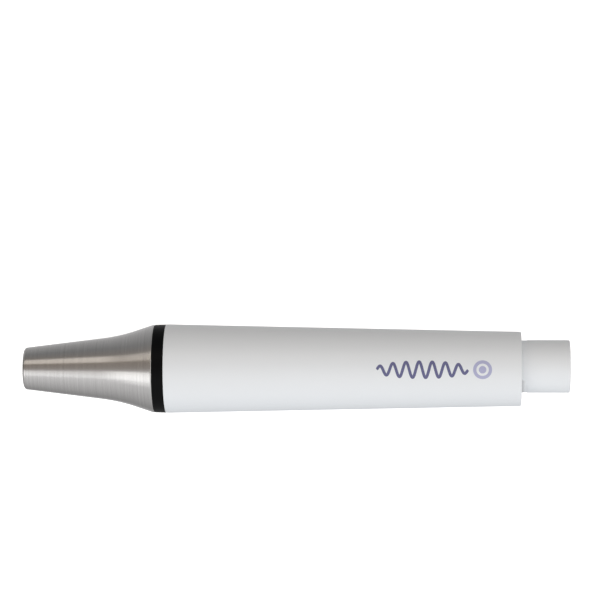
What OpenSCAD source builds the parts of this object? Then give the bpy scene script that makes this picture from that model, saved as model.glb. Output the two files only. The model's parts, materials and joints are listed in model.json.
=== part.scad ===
// Handpiece of an ultrasonic scaler: a turned steel nose cone, a black trim ring and a
// white tapered handle around a piezo-ceramic transducer, with a plug-in rear connector.
// The origin is the seat behind the tip stud, on the handle's axis. +X points to the rear
// connector and +Z is up. All dimensions are in millimetres.

/* [Nose cone] */
// Length of the nose cone along the axis
nose_length = 26.8; // [26:0.1:27.5]
// How far the tip's seat lies behind the nose cone's front face
seat_depth = 5; // [4.8:0.1:5.4]
// Radius of the nose cone at its front face, before the corner is rounded
nose_front_r = 4.25; // [4.1:0.05:4.4]
// Radius of the nose cone at its rear face, before the corner is rounded
nose_rear_r = 9.07; // [8.9:0.01:9.1]
// Slope of the slim front stretch, in degrees
nose_front_slope = 7; // [6.6:0.1:7.4]
// Slope of the flared rear stretch, in degrees
nose_rear_slope = 18.5; // [18:0.1:19]
// Radius of the hollow curve that joins the two stretches
nose_blend_r = 36; // [32:1:50]
// Rounding of the front corner
nose_front_round = 0.7; // [0.4:0.1:0.9]
// Rounding of the rear corner
nose_rear_round = 0.25; // [0.1:0.05:0.3]
// Radius of the bore that the horn passes through
nose_bore_r = 2.9; // [2.8:0.05:3]
// Pitch of the thread that holds the nose cone
thread_pitch = 1; // [0.75:0.25:1]

/* [Trim ring] */
// Width of the black trim ring between nose cone and handle
ring_width = 2.3; // [1.8:0.1:2.6]
// Radius of the trim ring at its front edge
ring_front_r = 8.95; // [8.8:0.01:9]
// Radius of the trim ring at its rear edge
ring_rear_r = 9.02; // [8.9:0.01:9.03]

/* [Handle] */
// Length of the white handle
handle_length = 72.4; // [72:0.1:76]
// Largest radius of the handle, close behind its front edge
handle_max_r = 9.05; // [9.05:0.05:9.5]
// Radius of the handle at its rear shoulder
handle_rear_r = 7.58; // [7.5:0.02:8]
// Thickness of the wall that closes the handle's rear end
rear_wall = 2; // [1.6:0.1:2.4]

/* [Rear connector] */
// Length of the connector stub behind the handle's shoulder
stub_length = 9.9; // [9.5:0.1:11]
// Radius of the connector stub
stub_r = 5.37; // [5.3:0.01:5.4]
// How far the stub's axis lies to the side of the handle's axis
stub_offset = 0.51; // [0.3:0.01:0.6]
// Depth of the recess around the water nipple
recess_depth = 3.2; // [2.8:0.1:3.6]
// Radius of the recess
recess_r = 2.98; // [2.9:0.02:3.04]
// Distance of the water nipple below the stub's axis
nipple_drop = 2.54; // [2.4:0.02:2.6]
// Distance of each contact from the stub's axis
contact_circle_r = 3.47; // [3.4:0.01:3.5]
// Angle between neighbouring contacts, in degrees
contact_step = 69.4; // [67:0.2:72]

/* [Transducer] */
// Radius of the tip stud
stud_r = 1.5; // [1.5:0.1:1.6]
// Length of the tip stud
stud_length = 3.8; // [3.4:0.1:4]
// Radius of the water channel through the horn and the bolt
water_r = 0.5; // [0.3:0.1:0.6]
// Thickness of each piezo-ceramic ring
piezo_thickness = 2; // [1.6:0.1:2.2]
// Radius of the piezo-ceramic rings and of the masses that clamp them
stack_r = 5; // [4.8:0.05:5]
// Thickness of each electrode
electrode_thickness = 0.3; // [0.2:0.05:0.4]
// Length of the steel back mass
back_mass_length = 12.5; // [11:0.5:13.5]

/* [Hidden] */
$fn = 96;
// number of piezo-ceramic rings in the stack
piezo_count = 4;

// stations along the axis
nose_front_x = -seat_depth;
nose_rear_x = nose_front_x + nose_length;
handle_front_x = nose_rear_x + ring_width;
shoulder_x = handle_front_x + handle_length;
stub_end_x = shoulder_x + stub_length;
rear_wall_x = shoulder_x - rear_wall;

// gaps between pieces
slip = 0.03;
thread_gap = 0.08;

// nose cone
nose_seal_x = 4.8;
nose_seal_tube_r = 0.5;
nose_seal_r = 3.05;
nose_throat_x = 8;
nose_chamber_x = 12;
nose_chamber_r = 5;

// threaded sleeve that carries the nose cone
thread_front_x = nose_rear_x - 6.3;
thread_r = 5.95;
thread_depth = 0.55;
sleeve_bore_r = 4.6;
sleeve_rear_bore_r = 5.3;
sleeve_r = 7.25;
flange_seat_x = 32.85;

// transducer: horn, flange and stack
horn_r = 2.5;
horn_flare_x = 18;
horn_flare_length = 14;
flange_x = 34;
flange_width = 2;
flange_r = 6.1;
flange_seal_r = 5.55;
flange_seal_tube_r = 0.48;
seal_gap = 0.1;
carrier_bore_r = 6.3;
carrier_end_x = 62;
clamp_width = 3;
stack_x = 44;
stack_pitch = piezo_thickness + electrode_thickness;
back_mass_x = stack_x + piezo_count * stack_pitch + electrode_thickness;
bolt_head_x = back_mass_x + back_mass_length;
bolt_r = 2;
bolt_bore_r = 2.05;
bolt_head_width = 7;
bolt_head_length = 3.5;
bolt_tail_length = 4;
bolt_thread_x = stack_x - 9;
hose_barb_r = 1.15;
tube_r = 2.35;
piezo_bore_r = 2.5;
tab_r = 5.4;
tab_width = 1.2;

// handle
handle_bulge = 0.85;
handle_front_bore_r = sleeve_r + slip;
handle_rear_bore_r = 6.4;
handle_edge_round = 0.15;

// rear connector
gasket_width = 0.5;
connector_flange_width = 2.5;
connector_flange_r = handle_rear_bore_r - 0.1;
retaining_width = 2;
connector_tail_r = 4.8;
connector_tail_length = 3;
gasket_x = rear_wall_x - gasket_width;
connector_flange_x = gasket_x - connector_flange_width;
connector_tail_x = connector_flange_x - connector_tail_length;
stub_round = 0.28;
neck_width = 1.2;
neck_depth = 0.07;
root_r = stub_r + 0.23;
key_width = 2.7;
key_depth = 0.29;
key_length = 6;
recess_centre_drop = 2.31;
recess_floor_x = stub_end_x - recess_depth;
horn_drop = 3.72;
horn_round = 0.55;
mark_r = 0.67;
mark_depth = 0.12;
mark_y = 3.73;
mark_z = -1.1;

// water nipple
nipple_r = 1.475;
nipple_dome = 0.6;
nipple_mouth_r = water_r + 0.15;
nipple_tip_x = stub_end_x - 0.2;
nipple_seal_x = stub_end_x - 1.8;
nipple_seal_tube_r = 0.3;
nipple_seal_r = 1.375;
nipple_tail_x = connector_tail_x - 3.5;

// contacts
contact_well_r = 0.86;
contact_well_depth = 5.4;
contact_r = 0.625;
contact_bore_r = 0.45;
contact_bore_depth = 5;
contact_tail_r = 0.4;
contact_tip_x = stub_end_x - 0.8;
contact_step_x = stub_end_x - 9.2;
contact_end_x = connector_tail_x - 1.2;
contact_slit = 0.2;
contact_slit_depth = 4;

// wires and hose
wire_r = 0.35;
wire_run_r = tab_r + wire_r + 0.01;
wire_bend_x = back_mass_x + 12;
hose_r = 1.75;
hose_bore_r = 1.25;
hose_front_x = bolt_head_x + bolt_head_length + 0.5;
hose_bend_x = bolt_head_x + bolt_head_length + bolt_tail_length;

// colours
steel = "#a9a7a3";
black = "#141414";
white = "#e9ebee";
titanium = "#8d8a86";
bronze = "#b08d4f";
ceramic = "#5a5148";
copper = "#c2773f";
silicone = "#dfe6ea";
amber = "#c9a46a";
chrome = "#d8dade";

// where each contact sits, as [y, z]
contact_places = [
    for (turn = [-1:1])
        [
            stub_offset - contact_circle_r * sin(turn * contact_step),
            contact_circle_r * cos(turn * contact_step)
        ]
];

// points of an arc about [x, y], from angle a to angle b, in degrees
function arc(x, y, r, a, b, steps = 8) = [
    for (i = [0:steps])
        let (t = a + (b - a) * i / steps)
            [x + r * cos(t), y + r * sin(t)]
];

// smooth step from 0 to 1 as t goes from 0 to 1
function ease(t) = (1 - cos(180 * min(max(t, 0), 1))) / 2;

// a solid of revolution about the X axis, from an outline of [x, radius] points
module lathe(outline) {
    rotate([0, 90, 0])
        rotate_extrude()
            polygon([for (p = outline) [p[1], p[0]]]);
}

// a rod along X between two stations
module rod(x0, x1, r, y = 0, z = 0) {
    translate([x0, y, z])
        rotate([0, 90, 0])
            cylinder(h = x1 - x0, r = r);
}

// a pipe along X between two stations
module pipe(x0, x1, outer_r, inner_r) {
    lathe([[x0, inner_r], [x1, inner_r], [x1, outer_r], [x0, outer_r]]);
}

// an O-ring about the X axis
module o_ring(x, centre_r, tube_r) {
    rotate([0, 90, 0])
        translate([0, 0, x])
            rotate_extrude()
                translate([centre_r, 0])
                    circle(r = tube_r, $fn = 32);
}

// a ring of points across X, for swept pieces
function ring_at(p, r, sides) = [
    for (i = [0:sides - 1])
        let (a = 360 * i / sides)
            [p[0], p[1] + r * cos(a), p[2] + r * sin(a)]
];

// a solid flexible rod along a route that runs forward in X
module swept_rod(route, r, sides = 8) {
    rings = len(route);
    polyhedron(
        points = [for (p = route) each ring_at(p, r, sides)],
        faces = concat(
            [[for (i = [sides - 1:-1:0]) i]],
            [[for (i = [0:sides - 1]) (rings - 1) * sides + i]],
            [
                for (k = [0:rings - 2], i = [0:sides - 1])
                    let (j = (i + 1) % sides, a = k * sides, b = a + sides)
                        [a + i, a + j, b + j, b + i]
            ]
        )
    );
}

// a flexible pipe along a route that runs forward in X
module swept_pipe(route, outer_r, inner_r, sides = 12) {
    rings = len(route);
    inner = rings * sides;
    last = (rings - 1) * sides;
    polyhedron(
        points = concat(
            [for (p = route) each ring_at(p, outer_r, sides)],
            [for (p = route) each ring_at(p, inner_r, sides)]
        ),
        faces = concat(
            [
                for (k = [0:rings - 2], i = [0:sides - 1])
                    let (j = (i + 1) % sides, a = k * sides, b = a + sides)
                        [a + i, a + j, b + j, b + i]
            ],
            [
                for (k = [0:rings - 2], i = [0:sides - 1])
                    let (j = (i + 1) % sides, a = inner + k * sides, b = a + sides)
                        [a + i, b + i, b + j, a + j]
            ],
            [
                for (i = [0:sides - 1])
                    let (j = (i + 1) % sides)
                        [i, inner + i, inner + j, j]
            ],
            [
                for (i = [0:sides - 1])
                    let (j = (i + 1) % sides)
                        [last + i, last + j, inner + last + j, inner + last + i]
            ]
        )
    );
}

// outside of the nose cone, from the front face to the rear face: a rounded corner, a
// slim cone, a hollow blend, a flared cone and a small rounded rear edge
function nose_outline() =
    let (
        a = nose_front_slope,
        b = nose_rear_slope,
        meet_x = (nose_rear_r - nose_front_r + nose_front_x * tan(a) - nose_rear_x * tan(b))
            / (tan(a) - tan(b)),
        meet_r = nose_front_r + (meet_x - nose_front_x) * tan(a),
        reach = nose_blend_r * tan((b - a) / 2),
        blend_x = meet_x - reach * cos(a) - nose_blend_r * sin(a),
        blend_y = meet_r - reach * sin(a) + nose_blend_r * cos(a),
        front_y = nose_front_r + nose_front_round * (tan(a) - 1 / cos(a)),
        rear_y = nose_rear_r - nose_rear_round * (tan(b) + 1 / cos(b))
    )
    concat(
        arc(nose_front_x + nose_front_round, front_y, nose_front_round, 180, 90 + a),
        arc(blend_x, blend_y, nose_blend_r, a - 90, b - 90, 12),
        arc(nose_rear_x - nose_rear_round, rear_y, nose_rear_round, 90 + b, 0)
    );

module nose_cone() {
    groove = nose_seal_tube_r + 0.04;
    inside = [
        [nose_rear_x, thread_r + thread_gap],
        [thread_front_x - 0.2, thread_r + thread_gap],
        [thread_front_x - 0.2, nose_chamber_r + 0.3],
        [nose_chamber_x, nose_chamber_r],
        [nose_throat_x, nose_bore_r],
        [nose_seal_x + groove, nose_bore_r],
        [nose_seal_x + groove, nose_seal_r + groove],
        [nose_seal_x - groove, nose_seal_r + groove],
        [nose_seal_x - groove, nose_bore_r],
        [nose_front_x + 0.2, nose_bore_r],
        [nose_front_x, nose_bore_r + 0.2]
    ];
    color(steel)
        lathe(concat(nose_outline(), inside));
}

module nose_seal() {
    color(black)
        o_ring(nose_seal_x, nose_seal_r, nose_seal_tube_r);
}

module trim_ring() {
    edge = 0.08;
    color(black)
        lathe([
            [nose_rear_x, thread_r + slip],
            [handle_front_x, thread_r + slip],
            [handle_front_x, ring_rear_r - edge],
            [handle_front_x - edge, ring_rear_r],
            [nose_rear_x + edge, ring_front_r],
            [nose_rear_x, ring_front_r - edge]
        ]);
}

// the nose cone screws onto this sleeve, whose rear end is fixed in the handle
module thread_sleeve() {
    turns = floor((nose_rear_x - thread_front_x - 0.5) / thread_pitch);
    teeth = [
        for (i = [0:turns - 1], p = [[0, 0], [0.5, thread_depth], [1, 0]])
            [thread_front_x + 0.4 + (i + p[0]) * thread_pitch, thread_r - p[1]]
    ];
    color(steel)
        lathe(concat(
            [
                [flange_seat_x, sleeve_rear_bore_r],
                [flange_seat_x, sleeve_r],
                [handle_front_x, sleeve_r],
                [handle_front_x, thread_r]
            ],
            [for (i = [len(teeth) - 1:-1:0]) teeth[i]],
            [
                [thread_front_x, thread_r - 0.4],
                [thread_front_x, sleeve_bore_r],
                [handle_front_x + 1, sleeve_bore_r],
                [handle_front_x + 2, sleeve_rear_bore_r]
            ]
        ));
}

module handle_shell() {
    r0 = handle_max_r - 0.02;
    slope = (handle_max_r - handle_rear_r) / (handle_length - handle_bulge);
    bore_step_x = carrier_end_x + slip;
    color(white)
        difference() {
            lathe(concat(
                [
                    [handle_front_x, handle_front_bore_r],
                    [handle_front_x, r0 - 0.06],
                    [handle_front_x + 0.06, r0],
                    [handle_front_x + handle_bulge, handle_max_r]
                ],
                arc(
                    shoulder_x - handle_edge_round,
                    handle_rear_r - handle_edge_round * (1 - slope),
                    handle_edge_round, 90, 0, 4
                ),
                [
                    [shoulder_x, 0],
                    [rear_wall_x, 0],
                    [rear_wall_x, handle_rear_bore_r],
                    [bore_step_x, handle_rear_bore_r],
                    [bore_step_x, handle_front_bore_r]
                ]
            ));
            rod(rear_wall_x - 1, shoulder_x + 1, root_r + slip, stub_offset);
        }
}

// insulating liner between the transducer and the handle
module transducer_sleeve() {
    color(amber)
        pipe(flange_seat_x, carrier_end_x, sleeve_r, carrier_bore_r);
}

// threaded ring that traps the transducer's flange between its two seals
module clamp_ring() {
    x = flange_x + flange_width + 2 * flange_seal_tube_r + seal_gap + 0.1;
    color(bronze)
        difference() {
            pipe(x, x + clamp_width, carrier_bore_r - slip, stack_r + 0.15);
            for (turn = [0, 90])
                rotate([turn, 0, 0])
                    translate([x + clamp_width - 0.8, -0.7, -8])
                        cube([2, 1.4, 16]);
        }
}

// titanium horn with the tip stud in front, the node flange and the front mass behind it
module horn() {
    flare = [
        for (i = [0:12])
            [
                horn_flare_x + horn_flare_length * i / 12,
                horn_r + (stack_r - horn_r) * ease(i / 12)
            ]
    ];
    color(titanium)
        difference() {
            lathe(concat(
                [
                    [-stud_length, 0],
                    [-stud_length, stud_r - 0.25],
                    [-stud_length + 0.25, stud_r],
                    [0, stud_r],
                    [0, horn_r - 0.15],
                    [0.15, horn_r]
                ],
                flare,
                [
                    [flange_x, stack_r],
                    [flange_x, flange_r],
                    [flange_x + flange_width, flange_r],
                    [flange_x + flange_width, stack_r],
                    [stack_x, stack_r],
                    [stack_x, 0]
                ]
            ));
            rod(-stud_length - 1, stack_x + 1, water_r);
            rod(bolt_thread_x - 1, stack_x + 1, bolt_bore_r);
        }
}

module front_flange_seal() {
    color(black)
        o_ring(flange_x - flange_seal_tube_r - 0.03, flange_seal_r, flange_seal_tube_r);
}

module rear_flange_seal() {
    x = flange_x + flange_width + flange_seal_tube_r + 0.03;
    color(black)
        o_ring(x, flange_seal_r, flange_seal_tube_r);
}

module piezo_ring(i) {
    x = stack_x + electrode_thickness + (i - 1) * stack_pitch;
    color(ceramic)
        pipe(x, x + piezo_thickness, stack_r, piezo_bore_r);
}

// copper washer with a solder tab; the tabs of neighbouring electrodes point different ways
module electrode(i) {
    x = stack_x + (i - 1) * stack_pitch;
    turn = i % 2 == 0 ? 90 : i == piezo_count + 1 ? 160 : 20;
    color(copper)
        difference() {
            union() {
                rod(x, x + electrode_thickness, stack_r);
                rotate([turn, 0, 0])
                    translate([x, 0, -tab_width / 2])
                        cube([electrode_thickness, tab_r, tab_width]);
            }
            rod(x - 1, x + 1, piezo_bore_r);
        }
}

module insulating_tube() {
    color(amber)
        pipe(stack_x, back_mass_x, tube_r, bolt_bore_r);
}

module back_mass() {
    color(steel)
        lathe([
            [back_mass_x, bolt_bore_r],
            [bolt_head_x, bolt_bore_r],
            [bolt_head_x, stack_r - 0.3],
            [bolt_head_x - 0.3, stack_r],
            [back_mass_x, stack_r]
        ]);
}

// hollow bolt that clamps the stack and carries the water through it
module centre_bolt() {
    head_end_x = bolt_head_x + bolt_head_length;
    color(steel)
        difference() {
            union() {
                rod(bolt_thread_x, bolt_head_x, bolt_r);
                translate([bolt_head_x, 0, 0])
                    rotate([0, 90, 0])
                        cylinder(h = bolt_head_length, r = bolt_head_width / sqrt(3), $fn = 6);
                rod(head_end_x, head_end_x + bolt_tail_length, hose_barb_r);
            }
            rod(bolt_thread_x - 1, head_end_x + bolt_tail_length + 1, water_r);
        }
}

// soft hose from the bolt's tail to the water nipple's tail
module water_hose() {
    rear_x = connector_tail_x - 0.3;
    bend_length = nipple_tail_x - hose_bend_x;
    steps = 10;
    route = concat(
        [[hose_front_x, 0, 0]],
        [
            for (i = [0:steps])
                let (t = i / steps)
                    [
                        hose_bend_x + bend_length * t,
                        stub_offset * ease(t),
                        -nipple_drop * ease(t)
                    ]
        ],
        [[rear_x, stub_offset, -nipple_drop]]
    );
    color(silicone)
        swept_pipe(route, hose_r, hose_bore_r);
}

// U-shaped recess around the water nipple, open on the underside between two horns with
// rounded corners
module recess() {
    corner_y = recess_r + horn_round;
    corner_drop = horn_drop - horn_round;
    translate([recess_floor_x, stub_offset, 0])
        rotate([0, 90, 0])
            linear_extrude(recess_depth + 1)
                union() {
                    translate([recess_centre_drop, 0])
                        circle(r = recess_r);
                    translate([horn_drop, -stub_r - 1])
                        square([stub_r, 2 * stub_r + 2]);
                    difference() {
                        translate([recess_centre_drop, -corner_y])
                            square([horn_drop - recess_centre_drop + 0.1, 2 * corner_y]);
                        for (side = [-1, 1]) {
                            translate([corner_drop, side * corner_y])
                                circle(r = horn_round);
                            translate([0, side * (corner_y + recess_r) / 2])
                                square([2 * corner_drop, horn_round], center = true);
                        }
                    }
                }
}

module connector_body() {
    color(white)
        difference() {
            union() {
                rod(connector_tail_x, connector_flange_x + 0.1, connector_tail_r);
                rod(connector_flange_x, gasket_x, connector_flange_r);
                translate([0, stub_offset, 0])
                    lathe(concat(
                        [
                            [gasket_x - 0.1, 0],
                            [gasket_x - 0.1, root_r],
                            [shoulder_x, root_r],
                            [shoulder_x, stub_r - neck_depth],
                            [shoulder_x + neck_width, stub_r - neck_depth],
                            [shoulder_x + neck_width + neck_depth, stub_r]
                        ],
                        arc(stub_end_x - stub_round, stub_r - stub_round, stub_round, 90, 0, 5),
                        [[stub_end_x, 0]]
                    ));
            }
            recess();
            // key slot along the underside
            translate([stub_end_x - key_length, stub_offset - key_width / 2, -stub_r - 1])
                cube([key_length + 1, key_width, 1 + key_depth]);
            for (side = [-1, 1])
                rod(stub_end_x - mark_depth, stub_end_x + 1, mark_r, stub_offset + side * mark_y, mark_z);
            for (p = contact_places) {
                rod(stub_end_x - contact_well_depth, stub_end_x + 1, contact_well_r, p[0], p[1]);
                rod(contact_step_x, stub_end_x, contact_r, p[0], p[1]);
                rod(connector_tail_x - 1, stub_end_x, contact_tail_r, p[0], p[1]);
            }
            rod(connector_tail_x - 1, stub_end_x, hose_barb_r, stub_offset, -nipple_drop);
        }
}

module connector_gasket() {
    color(black)
        difference() {
            rod(gasket_x, rear_wall_x, connector_flange_r);
            rod(gasket_x - 1, rear_wall_x + 1, root_r + slip, stub_offset);
        }
}

// threaded ring that holds the connector against the handle's rear wall
module retaining_ring() {
    x = connector_flange_x - retaining_width;
    color(bronze)
        difference() {
            pipe(x, connector_flange_x, handle_rear_bore_r - slip, connector_tail_r + 0.1);
            translate([x - 1, -0.7, -8])
                cube([1.8, 1.4, 16]);
        }
}

// chrome nipple with a domed end and a groove for its seal
module water_nipple() {
    groove_r = nipple_seal_r - nipple_seal_tube_r;
    groove_half = nipple_seal_tube_r + 0.04;
    dome = [
        for (i = [0:6])
            [
                nipple_tip_x - nipple_dome * (1 - sin(15 * i)),
                nipple_mouth_r + (nipple_r - nipple_mouth_r) * cos(15 * i)
            ]
    ];
    color(chrome)
        translate([0, stub_offset, -nipple_drop])
            lathe(concat(
                [
                    [nipple_tail_x, water_r],
                    [nipple_tail_x, hose_barb_r - 0.1],
                    [nipple_tail_x + 0.3, hose_barb_r],
                    [recess_floor_x, hose_barb_r],
                    [recess_floor_x, nipple_r],
                    [nipple_seal_x - groove_half, nipple_r],
                    [nipple_seal_x - groove_half, groove_r],
                    [nipple_seal_x + groove_half, groove_r],
                    [nipple_seal_x + groove_half, nipple_r]
                ],
                dome,
                [[nipple_tip_x - 0.15, water_r]]
            ));
}

module nipple_seal() {
    color(black)
        translate([0, stub_offset, -nipple_drop])
            o_ring(nipple_seal_x, nipple_seal_r, nipple_seal_tube_r);
}

// split socket for one pin of the cord's plug, with a solder tail
module contact(place) {
    color(bronze)
        translate([0, place[0], place[1]])
            difference() {
                union() {
                    rod(contact_step_x, contact_tip_x, contact_r);
                    rod(contact_end_x, contact_step_x, contact_tail_r);
                }
                rod(contact_tip_x - contact_bore_depth, contact_tip_x + 1, contact_bore_r);
                translate([contact_tip_x - contact_slit_depth, -contact_slit / 2, -1])
                    cube([contact_slit_depth + 1, contact_slit, 2]);
            }
}

// lead wire: straight along the solder tabs, then an easy bend to the contact's tail
module wire(place, turn, front_x, colour) {
    steps = 8;
    y0 = wire_run_r * cos(turn);
    z0 = wire_run_r * sin(turn);
    route = concat(
        [[front_x, y0, z0]],
        [
            for (i = [0:steps])
                let (t = i / steps, x = wire_bend_x + (contact_end_x - 1 - wire_bend_x) * t)
                    [x, y0 + (place[0] - y0) * ease(t), z0 + (place[1] - z0) * ease(t)]
        ],
        [[contact_end_x, place[0], place[1]]]
    );
    color(colour)
        swept_rod(route, wire_r);
}

nose_cone();
nose_seal();
trim_ring();
thread_sleeve();
handle_shell();
transducer_sleeve();
clamp_ring();
horn();
front_flange_seal();
rear_flange_seal();
for (i = [1:piezo_count])
    piezo_ring(i);
for (i = [1:piezo_count + 1])
    electrode(i);
insulating_tube();
back_mass();
centre_bolt();
water_hose();
connector_body();
connector_gasket();
retaining_ring();
water_nipple();
nipple_seal();
contact(contact_places[0]);  // contact_left
contact(contact_places[1]);  // contact_middle
contact(contact_places[2]);  // contact_right
wire(contact_places[0], 20, stack_x, "#b03028");  // wire_left
wire(contact_places[1], 90, stack_x, "#2c4f9e");  // wire_middle
wire(contact_places[2], 160, back_mass_x - 0.3, "#222222");  // wire_right
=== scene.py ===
"""Ultrasonic scaler handpiece on a plain pale table, seen from above."""

import json
from math import atan2, cos, pi, radians, sin, sqrt

import bmesh
import bpy
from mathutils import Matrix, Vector


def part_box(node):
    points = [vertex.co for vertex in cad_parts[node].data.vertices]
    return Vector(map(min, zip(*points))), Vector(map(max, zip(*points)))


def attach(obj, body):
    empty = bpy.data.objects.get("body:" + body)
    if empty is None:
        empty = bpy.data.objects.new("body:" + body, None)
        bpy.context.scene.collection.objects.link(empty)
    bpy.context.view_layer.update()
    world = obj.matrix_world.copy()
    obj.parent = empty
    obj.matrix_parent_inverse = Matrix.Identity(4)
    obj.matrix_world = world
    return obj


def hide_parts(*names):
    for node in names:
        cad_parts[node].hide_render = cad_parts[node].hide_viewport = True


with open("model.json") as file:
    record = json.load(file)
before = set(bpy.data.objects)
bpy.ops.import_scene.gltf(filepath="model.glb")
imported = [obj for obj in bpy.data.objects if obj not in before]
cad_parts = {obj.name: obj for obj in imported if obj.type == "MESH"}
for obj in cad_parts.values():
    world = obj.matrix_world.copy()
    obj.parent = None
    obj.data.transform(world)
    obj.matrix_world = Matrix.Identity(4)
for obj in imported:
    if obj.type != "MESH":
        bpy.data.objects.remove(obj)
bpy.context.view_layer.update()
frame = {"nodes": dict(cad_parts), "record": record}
nodes = frame["nodes"]
MM = 0.001

# ---------------------------------------------------------------- places from the frame

NOSE_LOW, NOSE_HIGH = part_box("nose_cone")
_, RING_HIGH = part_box("trim_ring")
SHELL_LOW, SHELL_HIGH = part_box("handle_shell")
_, STUB_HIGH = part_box("connector_body")
RECESS_DEPTH = 3.2 * MM
RECESS_FLOOR = STUB_HIGH.x - RECESS_DEPTH
FLOOR_Z = SHELL_LOW.z


# ---------------------------------------------------------------- camera

# The camera looks down with a slight tilt, from a place nearer the rear end than the middle of
# the view is, and the handpiece lies off the middle of the frame.
VIEW_WIDTH = 0.1224
VIEW_DISTANCE = 0.62
VIEW_PAST_NOSE = 0.05648
VIEW_ASIDE = 0.01403
VIEW_CENTRE = Vector((NOSE_LOW.x + VIEW_PAST_NOSE, VIEW_ASIDE, 0))
CAMERA_BEHIND = 0.0253
SENSOR = 36.0


def make_camera():
    data = bpy.data.cameras.new("camera")
    data.sensor_width = SENSOR
    data.lens = SENSOR * VIEW_DISTANCE / VIEW_WIDTH
    data.clip_start = 0.01
    data.clip_end = 20
    camera = bpy.data.objects.new("camera", data)
    camera.location = VIEW_CENTRE + Vector((CAMERA_BEHIND, 0, VIEW_DISTANCE))
    camera.rotation_euler = (0, atan2(CAMERA_BEHIND, VIEW_DISTANCE), 0)
    bpy.context.scene.collection.objects.link(camera)
    bpy.context.scene.camera = camera


make_camera()


# ---------------------------------------------------------------- lights and table

LAMP_DISTANCE = 0.9
WARM = (1.0, 0.95, 0.87)

# Round the axis: degrees from straight up towards +Y, brightness, warmth.
ROUND_SHADES = [
    (-180, 0.8, 0),
    (-140, 0.4, 0),
    (-30, 1.1, 0),
    (0, 0.4, 0.6),
    (30, 0.3, 1),
    (80, 0.3, 0),
    (180, 0.8, 0),
]
# Along the axis: the X part of a direction, from -1 to 1, and a factor for the brightness.
ALONG_SHADES = [(-1, 0.3), (-0.8, 1), (0, 0.9), (0.6, 1.2), (1, 0.4)]


def shade_ramp(tree, stops):
    """A colour ramp from (position, colour) stops, with positions from 0 to 1."""
    ramp = tree.nodes.new("ShaderNodeValToRGB")
    marks = ramp.color_ramp.elements
    while len(marks) < len(stops):
        marks.new(0.5)
    for mark, (position, colour) in zip(marks, stops):
        mark.position = position
        mark.color = (*colour, 1)
    return ramp


def tinted(brightness, warmth):
    """A grey of this brightness, from very slightly blue at warmth 0 to cream at warmth 1."""
    return (
        brightness * (0.985 + 0.14 * warmth),
        brightness * (0.99 - 0.02 * warmth),
        brightness * (1.0 - 0.16 * warmth),
    )


def set_world():
    """Surroundings whose shade changes softly round the handle's axis and along it.

    Seen directly, they are plain white, like the table.
    """
    world = bpy.data.worlds.new("studio")
    bpy.context.scene.world = world
    world.use_nodes = True
    tree = world.node_tree
    place = tree.nodes.new("ShaderNodeTexCoord")
    split = tree.nodes.new("ShaderNodeSeparateXYZ")
    tree.links.new(place.outputs["Generated"], split.inputs["Vector"])

    angle = tree.nodes.new("ShaderNodeMath")
    angle.operation = "ARCTAN2"
    tree.links.new(split.outputs["Y"], angle.inputs[0])
    tree.links.new(split.outputs["Z"], angle.inputs[1])
    angle_share = tree.nodes.new("ShaderNodeMapRange")
    angle_share.inputs["From Min"].default_value = -pi
    angle_share.inputs["From Max"].default_value = pi
    tree.links.new(angle.outputs["Value"], angle_share.inputs["Value"])
    round_ramp = shade_ramp(tree, [
        ((from_up + 180) / 360, tinted(brightness, warmth))
        for from_up, brightness, warmth in ROUND_SHADES
    ])
    tree.links.new(angle_share.outputs["Result"], round_ramp.inputs["Fac"])

    along_share = tree.nodes.new("ShaderNodeMapRange")
    along_share.inputs["From Min"].default_value = -1
    tree.links.new(split.outputs["X"], along_share.inputs["Value"])
    along_ramp = shade_ramp(tree, [((x + 1) / 2, [factor] * 3) for x, factor in ALONG_SHADES])
    tree.links.new(along_share.outputs["Result"], along_ramp.inputs["Fac"])

    product = tree.nodes.new("ShaderNodeVectorMath")
    product.operation = "MULTIPLY"
    tree.links.new(round_ramp.outputs["Color"], product.inputs[0])
    tree.links.new(along_ramp.outputs["Color"], product.inputs[1])

    path = tree.nodes.new("ShaderNodeLightPath")
    seen = tree.nodes.new("ShaderNodeMix")
    seen.data_type = "RGBA"
    seen.inputs["B"].default_value = (1, 1, 1, 1)
    tree.links.new(path.outputs["Is Camera Ray"], seen.inputs["Factor"])
    tree.links.new(product.outputs["Vector"], seen.inputs["A"])
    background = tree.nodes["Background"]
    tree.links.new(seen.outputs["Result"], background.inputs["Color"])
    background.inputs["Strength"].default_value = 1


def softbox(name, angle, width, length, radiance, colour=(1, 1, 1), along=0.0, mirrored=True):
    """A softbox that faces the handle's axis, shifted along it from the handle's middle.

    The angle is from straight up towards +Y, and a lamp that isn't mirrored leaves no highlight.
    """
    data = bpy.data.lights.new(name, "AREA")
    data.shape = "RECTANGLE"
    data.size = width
    data.size_y = length
    data.energy = radiance * pi * width * length
    data.color = colour
    lamp = bpy.data.objects.new(name, data)
    a = radians(angle)
    middle = (SHELL_LOW.x + SHELL_HIGH.x) / 2 + along
    lamp.location = (middle, LAMP_DISTANCE * sin(a), LAMP_DISTANCE * cos(a))
    look = Vector((middle, 0, 0)) - lamp.location
    lamp.rotation_euler = look.to_track_quat("-Z", "X").to_euler()
    lamp.visible_glossy = mirrored
    bpy.context.scene.collection.objects.link(lamp)


def end_light(name, x, z, size, radiance):
    """A square softbox beyond the handle's rear end and above its axis, facing that end."""
    data = bpy.data.lights.new(name, "AREA")
    data.size = size
    data.energy = radiance * pi * size * size
    lamp = bpy.data.objects.new(name, data)
    lamp.location = (x, 0, z)
    look = SHELL_HIGH - lamp.location
    look.y = 0
    lamp.rotation_euler = look.to_track_quat("-Z", "Y").to_euler()
    bpy.context.scene.collection.objects.link(lamp)


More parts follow.
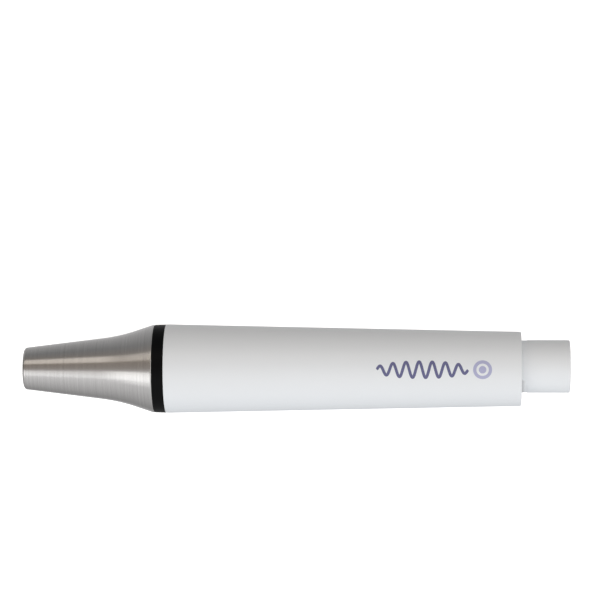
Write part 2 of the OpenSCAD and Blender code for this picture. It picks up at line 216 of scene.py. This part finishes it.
def make_table():
    """A pale table, which the surroundings stand for in reflections and bounced light."""
    bpy.ops.mesh.primitive_plane_add(size=6, location=(0, 0, FLOOR_Z))
    table = bpy.context.object
    table.name = "table"
    material = bpy.data.materials.new("table")
    material.use_nodes = True
    shader = material.node_tree.nodes["Principled BSDF"]
    shader.inputs["Base Color"].default_value = (0.82, 0.82, 0.82, 1)
    shader.inputs["Roughness"].default_value = 0.9
    shader.inputs["Emission Color"].default_value = (1, 1, 1, 1)
    shader.inputs["Emission Strength"].default_value = 0.8
    table.data.materials.append(material)
    table.visible_glossy = False
    table.visible_diffuse = False


set_world()
softbox("key", angle=-22, width=0.4, length=1.2, radiance=0.1, along=0.1)
softbox("key_middle", angle=-25, width=0.5, length=0.3, radiance=1.0, along=-0.65)
softbox("key_far", angle=-34, width=0.75, length=0.4, radiance=1.0, along=-1.0)
softbox("strip", angle=36, width=0.35, length=1.2, radiance=0.8, colour=WARM, along=0.1)
softbox("strip_far", angle=41, width=0.4, length=0.4, radiance=1.0, colour=WARM, along=-1.0)
softbox("fill", angle=-4, width=0.6, length=0.6, radiance=0.6, mirrored=False)
softbox("side_fill", angle=28, width=0.6, length=0.6, radiance=0.4, mirrored=False)
softbox("low_fill", angle=-74, width=0.4, length=0.6, radiance=1.1, mirrored=False)
end_light("rear_light", x=0.85, z=0.45, size=0.6, radiance=0.9)
make_table()

scene = bpy.context.scene
scene.view_settings.view_transform = "Standard"
scene.view_settings.look = "None"


# ---------------------------------------------------------------- materials

class Surface:
    """A Principled material with short calls for the nodes it needs."""

    def __init__(self, name, colour, roughness, metallic=0.0):
        self.material = bpy.data.materials.new(name)
        self.material.use_nodes = True
        self.tree = self.material.node_tree
        self.shader = self.tree.nodes["Principled BSDF"]
        self.shader.inputs["Base Color"].default_value = (*colour, 1)
        self.shader.inputs["Roughness"].default_value = roughness
        self.shader.inputs["Metallic"].default_value = metallic

    def node(self, kind, **settings):
        made = self.tree.nodes.new(kind)
        for key, value in settings.items():
            setattr(made, key, value)
        return made

    def link(self, source, target):
        self.tree.links.new(source, target)

    def set(self, **values):
        for key, value in values.items():
            self.shader.inputs[key.replace("_", " ")].default_value = value

    def noise(self, scale, stretch=(1, 1, 1), detail=2.0, roughness=0.5):
        """Noise over the part's own coordinates, as a 0 to 1 value."""
        place = self.node("ShaderNodeTexCoord")
        shape = self.node("ShaderNodeMapping")
        shape.inputs["Scale"].default_value = stretch
        self.link(place.outputs["Object"], shape.inputs["Vector"])
        made = self.node("ShaderNodeTexNoise")
        made.inputs["Scale"].default_value = scale
        made.inputs["Detail"].default_value = detail
        made.inputs["Roughness"].default_value = roughness
        self.link(shape.outputs["Vector"], made.inputs["Vector"])
        return made.outputs["Fac"]

    def spread(self, value, low, high):
        """The 0 to 1 value brought to a range from low to high."""
        made = self.node("ShaderNodeMapRange")
        made.inputs["To Min"].default_value = low
        made.inputs["To Max"].default_value = high
        self.link(value, made.inputs["Value"])
        return made.outputs["Result"]

    def blend(self, value, first, second):
        """A colour between first and second, by the value."""
        made = self.node("ShaderNodeMix", data_type="RGBA")
        made.inputs["A"].default_value = (*first, 1)
        made.inputs["B"].default_value = (*second, 1)
        self.link(value, made.inputs["Factor"])
        return made.outputs["Result"]

    def colour(self, value):
        self.link(value, self.shader.inputs["Base Color"])

    def roughness(self, value):
        self.link(value, self.shader.inputs["Roughness"])

    def bump(self, value, distance, strength=1.0):
        made = self.node("ShaderNodeBump")
        made.inputs["Distance"].default_value = distance
        made.inputs["Strength"].default_value = strength
        self.link(value, made.inputs["Height"])
        self.link(made.outputs["Normal"], self.shader.inputs["Normal"])


def turned_metal(name, colour, roughness, depth=0.5e-6, vary=0.2):
    """Metal with fine lines round the X axis, left by the lathe."""
    made = Surface(name, colour, roughness, 1.0)
    lines = made.noise(2900, (1, 0.006, 0.006), 4.0, 0.7)
    fine = made.noise(5200, (1, 0.004, 0.004), 3.0, 0.6)
    wide = made.noise(420, (1, 0.02, 0.02), 2.0)
    shade = made.spread(lines, 1 - vary, 1 + vary)
    tint = made.node("ShaderNodeVectorMath", operation="SCALE")
    tint.inputs[0].default_value = colour
    made.link(shade, tint.inputs["Scale"])
    made.colour(tint.outputs["Vector"])
    made.roughness(made.spread(wide, roughness - 0.03, roughness + 0.03))
    made.bump(fine, depth)
    made.set(Anisotropic=0.8, Anisotropic_Rotation=0.25)
    tangent = made.node("ShaderNodeTangent", direction_type="RADIAL", axis="X")
    made.link(tangent.outputs["Tangent"], made.shader.inputs["Tangent"])
    return made.material


def moulded_plastic(name, colour, roughness, grain=0.4e-6, shine=0.5):
    """Plastic with a very fine grain and faint cloudiness."""
    made = Surface(name, colour, roughness)
    made.set(Specular_IOR_Level=shine)
    grains = made.noise(9000, detail=1.0)
    clouds = made.noise(60, detail=3.0)
    dim = tuple(c * 0.985 for c in colour)
    made.colour(made.blend(clouds, dim, colour))
    made.roughness(made.spread(grains, roughness - 0.03, roughness + 0.03))
    made.bump(grains, grain)
    return made.material


STEEL = (0.55, 0.538, 0.528)
WHITE = (0.785, 0.812, 0.838)
materials = {
    "turned_steel": turned_metal("turned_steel", STEEL, 0.25),
    "machined_steel": turned_metal("machined_steel", (0.5, 0.5, 0.49), 0.25),
    "titanium": turned_metal("titanium", (0.42, 0.40, 0.38), 0.28),
    "bronze": turned_metal("bronze", (0.62, 0.44, 0.2), 0.3),
    "dark_bronze": turned_metal("dark_bronze", (0.05, 0.036, 0.025), 0.35),
    "copper": turned_metal("copper", (0.75, 0.38, 0.2), 0.3),
    "chrome": turned_metal("chrome", (0.72, 0.73, 0.74), 0.07, vary=0.02, depth=0.1e-6),
    "black_ring": moulded_plastic("black_ring", (0.002, 0.0021, 0.0024), 0.42, shine=0.08),
    "black_elastomer": moulded_plastic("black_elastomer", (0.012, 0.012, 0.013), 0.5),
    "white_plastic": moulded_plastic("white_plastic", WHITE, 0.36),
    "white_connector": moulded_plastic("white_connector", WHITE, 0.42),
    "amber_insulator": moulded_plastic("amber_insulator", (0.6, 0.38, 0.14), 0.4),
    "piezo_ceramic": moulded_plastic("piezo_ceramic", (0.09, 0.075, 0.06), 0.6),
    "silicone_hose": moulded_plastic("silicone_hose", (0.75, 0.8, 0.83), 0.35),
    "wire_red": moulded_plastic("wire_red", (0.45, 0.02, 0.015), 0.4),
    "wire_blue": moulded_plastic("wire_blue", (0.02, 0.06, 0.35), 0.4),
    "wire_black": moulded_plastic("wire_black", (0.01, 0.01, 0.01), 0.4),
    "slate_print": moulded_plastic("slate_print", (0.125, 0.128, 0.26), 0.5),
    "lavender_print": moulded_plastic("lavender_print", (0.42, 0.43, 0.62), 0.5),
}

for part in frame["record"]["subparts"]:
    data = nodes[part["node"]].data
    data.materials.clear()
    data.materials.append(materials[part["material_slot"]])


# ---------------------------------------------------------------- mesh pieces

SHARP_TURN = radians(35)

# The connector's moulded edges, and the smaller ones where a face beside the edge is narrow.
MOULDED_ROUND = 0.17 * MM
SHALLOW_ROUND = 0.04 * MM
NARROW_FACE = 0.4 * MM

# Limits between which the round marks' depth lies, and one beyond their radius.
MARK_DEPTHS = (0.05 * MM, 0.2 * MM)
MARK_REACH = 0.8 * MM
SLIVER_AREA = 0.15 * MM * MM


def add_piece(name, points, faces, body, slot):
    """A smooth-shaded mesh piece, with sharp edges where its faces turn by more than SHARP_TURN."""
    mesh = bpy.data.meshes.new(name)
    mesh.from_pydata(points, [], faces)
    shape = bmesh.new()
    shape.from_mesh(mesh)
    bmesh.ops.recalc_face_normals(shape, faces=shape.faces)
    shape.to_mesh(mesh)
    shape.free()
    mesh.shade_smooth()
    mesh.set_sharp_from_angle(angle=SHARP_TURN)
    mesh.materials.append(materials[slot])
    piece = bpy.data.objects.new(name, mesh)
    bpy.context.scene.collection.objects.link(piece)
    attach(piece, body)
    return piece


def strip_faces(rings, count):
    """Quads that join each ring of points to the next, and the last to the first."""
    faces = []
    for i in range(rings):
        here = i * count
        there = (i + 1) % rings * count
        for k in range(count):
            after = (k + 1) % count
            faces.append((here + k, here + after, there + after, there + k))
    return faces


def rounded_edges(shape, edges, width, strength):
    """Round these edges over, and mark the faces whose normals the shading follows."""
    bmesh.ops.bevel(
        shape, geom=edges, offset=width, offset_type="OFFSET", segments=3, profile=0.5,
        affect="EDGES", clamp_overlap=True, face_strength_mode=strength,
    )


def move_seams(shape):
    """Move one of two seams that run side by side to a round mark on the flat rear face.

    The face has seams because it has holes in it. Where two of them leave only a sliver between
    them, one is replaced by a cut from the mark's far side, so that the edges round evenly.
    """
    flats = [face for face in shape.faces if face.normal.x > 0.999]
    depths = [STUB_HIGH.x - face.calc_center_median().x for face in flats]
    rear = [face for face, depth in zip(flats, depths) if depth < 0.01 * MM]
    marks = [
        face.calc_center_median()
        for face, depth in zip(flats, depths)
        if MARK_DEPTHS[0] < depth < MARK_DEPTHS[1]
    ]
    for sliver in [face for face in rear if face.calc_area() < SLIVER_AREA]:
        seams = [edge for edge in sliver.edges if edge.calc_face_angle(1) < radians(1)]
        beside = {face for edge in seams for face in edge.link_faces} - {sliver}
        if len(seams) != 2 or len(beside) != 1 or not marks:
            continue
        neighbour = beside.pop()
        place = sliver.calc_center_median()
        mark = min(marks, key=lambda middle: (middle - place).length)
        rim = [v for v in neighbour.verts if (v.co - mark).length < MARK_REACH]
        others = [v for v in neighbour.verts if v not in rim]
        if not rim or not others:
            continue
        far = max(rim, key=lambda v: (v.co - place).length)
        near = min(others, key=lambda v: (v.co - far.co).length)
        if near in [edge.other_vert(far) for edge in far.link_edges]:
            continue
        bmesh.utils.face_split(neighbour, far, near)
        longest = max(seams, key=lambda edge: edge.calc_length())
        bmesh.ops.dissolve_edges(shape, edges=[longest], use_verts=False)


def soften_connector():
    """The connector body with the edges of its rear end rounded over, in place of the node."""
    shape = bmesh.new()
    shape.from_mesh(nodes["connector_body"].data)
    bmesh.ops.remove_doubles(shape, verts=shape.verts, dist=1e-4 * MM)
    bmesh.ops.dissolve_limit(
        shape, angle_limit=radians(0.6), verts=shape.verts, edges=shape.edges, delimit={"NORMAL"}
    )
    move_seams(shape)
    moulded, shallow = [], []
    for edge in shape.edges:
        at_rear = max(v.co.x for v in edge.verts) > RECESS_FLOOR - 0.1 * MM
        if not at_rear or not edge.is_manifold or edge.calc_face_angle(0) < SHARP_TURN:
            continue
        reach = min(face.calc_area() for face in edge.link_faces) / edge.calc_length()
        (shallow if reach < NARROW_FACE else moulded).append(edge)
    rounded_edges(shape, moulded, MOULDED_ROUND, "ALL")
    rounded_edges(shape, [edge for edge in shallow if edge.is_valid], SHALLOW_ROUND, "NEW")
    mesh = bpy.data.meshes.new("soft_connector")
    shape.to_mesh(mesh)
    shape.free()
    mesh.shade_smooth()
    mesh.set_sharp_from_angle(angle=radians(50))
    mesh.materials.append(materials["white_connector"])
    piece = bpy.data.objects.new("soft_connector", mesh)
    bpy.context.scene.collection.objects.link(piece)
    weights = piece.modifiers.new("face_weights", "WEIGHTED_NORMAL")
    weights.keep_sharp = True
    weights.use_face_influence = True
    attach(piece, "root")
    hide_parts("connector_body")


# ---------------------------------------------------------------- turned pieces

ROUND_STEPS = 96


class Thread:
    """A right-handed V thread about the X axis, cut into a rod from start to end.

    The shares are of half a pitch: a flat crest, then a sloping flank, then a flat root.
    """

    POINTS_PER_PITCH = 12
    CREST_SHARE = 0.12
    FLANK_SHARE = 0.7

    def __init__(self, start, end, radius, pitch, depth):
        self.start = start
        self.end = end
        self.radius = radius
        self.pitch = pitch
        self.depth = depth

    def outline(self):
        length = self.end - self.start
        steps = round(length / self.pitch * self.POINTS_PER_PITCH)
        return [(self.start + length * i / steps, self.radius) for i in range(steps + 1)]

    def cut(self, x, r, turn):
        """How deep the groove is at x, at this share of a turn round the axis."""
        if r != self.radius or not self.start <= x <= self.end:
            return 0
        flank = abs(2 * ((x / self.pitch - turn) % 1) - 1)
        groove = min(max((flank - self.CREST_SHARE) / self.FLANK_SHARE, 0), 1)
        fade = min(x - self.start, self.end - x, self.pitch / 2) / (self.pitch / 2)
        return self.depth * groove * fade


def turned_piece(name, outline, node, body, slot, thread=None, centre=(0, 0)):
    """A solid of revolution along X, threaded if a thread is given, in place of a CAD node."""
    points = []
    for x, r in outline:
        for k in range(ROUND_STEPS):
            turn = k / ROUND_STEPS
            reach = r - thread.cut(x, r, turn) if thread else r
            y = centre[0] + reach * cos(2 * pi * turn)
            z = centre[1] + reach * sin(2 * pi * turn)
            points.append((x, y, z))
    piece = add_piece(name, points, strip_faces(len(outline), ROUND_STEPS), body, slot)
    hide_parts(node)
    return piece


def curve(x, r, reach_x, reach_r, first, last, steps):
    """Outline points on an ellipse about (x, r), between two angles in degrees."""
    turns = [radians(first + (last - first) * i / steps) for i in range(steps + 1)]
    return [(x + reach_x * cos(a), r + reach_r * sin(a)) for a in turns]


def make_sleeve():
    """The sleeve that the nose cone screws onto."""
    low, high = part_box("thread_sleeve")
    shoulder = RING_HIGH.x
    crest = 5.95 * MM
    thread = Thread(low.x + 0.3 * MM, NOSE_HIGH.x + 0.3 * MM, crest, 1 * MM, 0.52 * MM)
    outline = [
        (low.x, 4.6 * MM),
        (low.x, crest - 0.4 * MM),
        *thread.outline(),
        (shoulder, crest),
        (shoulder, high.z),
        (high.x, high.z),
        (high.x, 5.3 * MM),
        (shoulder + 2 * MM, 5.3 * MM),
        (shoulder + 1 * MM, 4.6 * MM),
    ]
    turned_piece("threaded_sleeve", outline, "thread_sleeve", "root", "machined_steel", thread)


def make_horn():
    """The titanium horn, with a metric thread on its tip stud."""
    low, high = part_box("horn")
    stud = 1.5 * MM
    body_r = 2.5 * MM
    stack_r = 5 * MM
    thread = Thread(low.x + 0.25 * MM, -0.35 * MM, stud, 0.5 * MM, 0.27 * MM)
    flare_start = 18 * MM
    flare_end = 32 * MM
    flare_steps = 16
    flare = []
    for i in range(flare_steps + 1):
        share = i / flare_steps
        rise = (1 - cos(pi * share)) / 2
        x = flare_start + (flare_end - flare_start) * share
        flare.append((x, body_r + (stack_r - body_r) * rise))
    outline = [
        (low.x, 0.5 * MM),
        (low.x, stud - 0.25 * MM),
        *thread.outline(),
        (-0.3 * MM, stud - 0.2 * MM),
        (0, stud - 0.2 * MM),
        (0, body_r - 0.15 * MM),
        (0.05 * MM, body_r - 0.04 * MM),
        (0.15 * MM, body_r),
        *flare,
        (34 * MM, stack_r),
        (34 * MM, high.z),
        (36 * MM, high.z),
        (36 * MM, stack_r),
        (high.x, stack_r),
        (high.x, 2.05 * MM),
        (35 * MM, 2.05 * MM),
        (35 * MM, 0.5 * MM),
    ]
    turned_piece("threaded_horn", outline, "horn", "transducer", "titanium", thread)


def make_nipple():
    """The polished water nipple, with a rounded mouth and a groove for its seal."""
    low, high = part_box("water_nipple")
    seal_low, seal_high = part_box("nipple_seal")
    bore = 0.5 * MM
    barb = 1.15 * MM
    outer = (high.z - low.z) / 2
    dome_length = 0.6 * MM
    dome_start = high.x - dome_length
    mouth = bore + 0.15 * MM
    groove = (seal_high.z - seal_low.z) / 2 - (seal_high.x - seal_low.x)
    edge = 0.04 * MM
    outline = [
        (low.x, bore),
        (low.x, barb - 0.1 * MM),
        (low.x + 0.3 * MM, barb),
        (RECESS_FLOOR, barb),
        (RECESS_FLOOR, outer),
        (seal_low.x - 2 * edge, outer),
        (seal_low.x - edge, outer - edge),
        (seal_low.x - edge, groove),
        (seal_high.x + edge, groove),
        (seal_high.x + edge, outer - edge),
        (seal_high.x + 2 * edge, outer),
        *curve(dome_start, mouth, dome_length, outer - mouth, 90, 0, 24),
        *curve(high.x - 0.08 * MM, mouth - 0.05 * MM, 0.08 * MM, 0.05 * MM, 60, -60, 6),
        *curve(high.x - 0.14 * MM, bore + 0.04 * MM, 0.06 * MM, 0.04 * MM, -20, -90, 4),
    ]
    centre = ((low.y + high.y) / 2, (low.z + high.z) / 2)
    turned_piece("polished_nipple", outline, "water_nipple", "root", "chrome", centre=centre)


def make_o_ring(node, body):
    """A smooth O-ring in place of a CAD node."""
    low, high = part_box(node)
    tube = (high.x - low.x) / 2
    ring = (high.z - low.z) / 2 - tube
    outline = curve((low.x + high.x) / 2, ring, tube, tube, 0, 345, 23)
    centre = ((low.y + high.y) / 2, (low.z + high.z) / 2)
    turned_piece(f"smooth_{node}", outline, node, body, "black_elastomer", centre=centre)


make_sleeve()
make_horn()
make_nipple()
make_o_ring("nipple_seal", "root")
make_o_ring("nose_seal", "nose_seal_body")
make_o_ring("front_flange_seal", "transducer")
make_o_ring("rear_flange_seal", "transducer")
soften_connector()


# ---------------------------------------------------------------- print on the handle

PRINT_RISE = 0.012 * MM
PRINT_DEPTH = 0.02 * MM
WAVE_START = SHELL_HIGH.x - 29.3 * MM
WAVE_END = SHELL_HIGH.x - 10.8 * MM
WAVE_HEIGHT = 1.62 * MM
WAVE_CYCLES = 7
WAVE_STROKE = 0.58 * MM
MARK_CENTRE = SHELL_HIGH.x - 7.95 * MM
MARK_SIDES = 72


def handle_point(x, across, rise):
    """A point over the handle's skin: x along it, and an arc length across it from the top."""
    shell = nodes["handle_shell"]
    skin = shell.ray_cast(Vector((x, 0, 1)), Vector((0, 0, -1)))[1].z
    angle = across / skin
    return (x, (skin + rise) * sin(angle), (skin + rise) * cos(angle))


def print_strip(name, left, right, slot, closed=False):
    """A thin inked strip on the handle, between two lists of (x, across) points."""
    points = []
    for a, b in zip(left, right):
        points.append(handle_point(*a, -PRINT_DEPTH))
        points.append(handle_point(*a, PRINT_RISE))
        points.append(handle_point(*b, PRINT_RISE))
        points.append(handle_point(*b, -PRINT_DEPTH))
    faces = strip_faces(len(left), 4)
    if not closed:
        faces = faces[:-4] + [(0, 1, 2, 3), tuple(range(len(points) - 4, len(points)))]
    return add_piece(name, points, faces, "root", slot)


def wave_line(start, end, height, cycles, width):
    """The two edges of a round-ended wave line that swells and dies away."""
    steps = 320
    middle = []
    for i in range(steps + 1):
        t = i / steps
        swell = sin(pi * t) ** 0.35
        middle.append(Vector((start + (end - start) * t, height * swell * sin(2 * pi * cycles * t))))
    gone = [0.0]
    for a, b in zip(middle, middle[1:]):
        gone.append(gone[-1] + (b - a).length)
    left, right = [], []
    for i in range(1, steps):
        ahead = middle[i + 1] - middle[i - 1]
        side = Vector((-ahead.y, ahead.x)).normalized()
        to_end = min(gone[i], gone[-1] - gone[i], width / 2)
        half = sqrt(to_end * (width - to_end))
        left.append(tuple(middle[i] + side * half))
        right.append(tuple(middle[i] - side * half))
    return left, right


def make_print():
    """A wave line and a dot in a ring, printed near the handle's rear end."""
    left, right = wave_line(WAVE_START, WAVE_END, WAVE_HEIGHT, WAVE_CYCLES, WAVE_STROKE)
    print_strip("pulse_line", left, right, "slate_print")
    turns = [2 * pi * k / MARK_SIDES for k in range(MARK_SIDES)]
    for name, inner, outer in (("mark_dot", 0.02 * MM, 0.75 * MM), ("mark_ring", 1.25 * MM, 1.9 * MM)):
        left = [(MARK_CENTRE + outer * cos(a), outer * sin(a)) for a in turns]
        right = [(MARK_CENTRE + inner * cos(a), inner * sin(a)) for a in turns]
        print_strip(name, left, right, "lavender_print", closed=True)


make_print()
